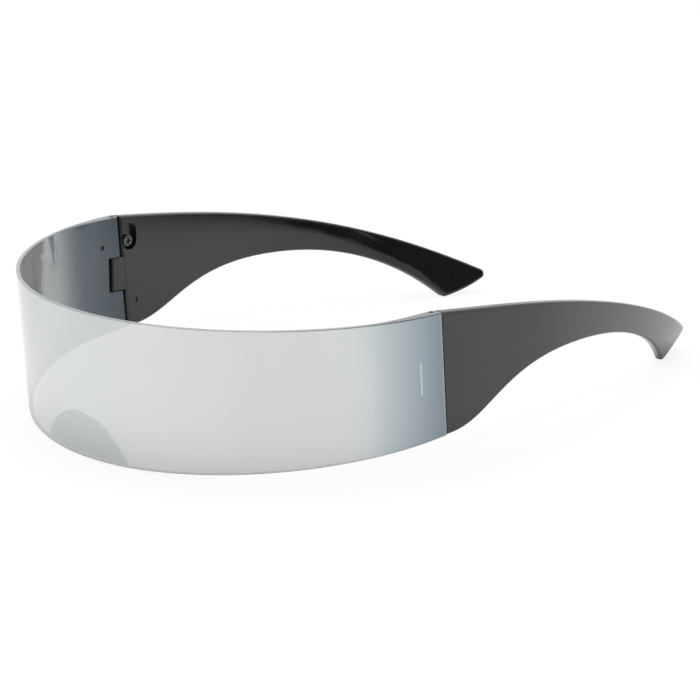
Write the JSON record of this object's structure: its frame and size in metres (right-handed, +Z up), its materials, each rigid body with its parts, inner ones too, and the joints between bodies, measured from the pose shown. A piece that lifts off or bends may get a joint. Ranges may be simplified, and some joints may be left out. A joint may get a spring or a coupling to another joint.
{
  "type": "shield sunglasses",
  "caption": "Wrap-around shield sunglasses with a leaning mirrored lens, a saddle nose piece and swept folding arms on pin hinges.",
  "frame": {"origin": "table level under the middle of the open glasses, on the mid-plane between the arms", "axes": "+Z up, -Y the way the wearer looks, +X the wearer's left"},
  "size_m": [0.132, 0.1848, 0.039],
  "materials": {
    "lens": "silver flash mirror on clear polycarbonate",
    "nose": "matte",
    "arm": "satin outside, polished inside",
    "steel": "plain"
  },
  "bodies": {
    "front": {"shield_lens": "lens", "nose_piece": "nose", "left_hinge_pin": "steel", "right_hinge_pin": "steel"},
    "left_arm": {"left_temple": "arm", "left_temple_screw": "steel"},
    "right_arm": {"right_temple": "arm", "right_temple_screw": "steel"}
  },
  "joints": [
    {"name": "left_fold", "type": "hinge", "parent": "front", "child": "left_arm", "pos_m": [0.06398, -0.0286, 0.0226], "axis": [0, 0, 1], "range_deg": [0, 88]},
    {"name": "right_fold", "type": "hinge", "parent": "front", "child": "right_arm", "pos_m": [-0.06398, -0.0286, 0.0226], "axis": [0, 0, -1], "range_deg": [0, 76]}
  ]
}
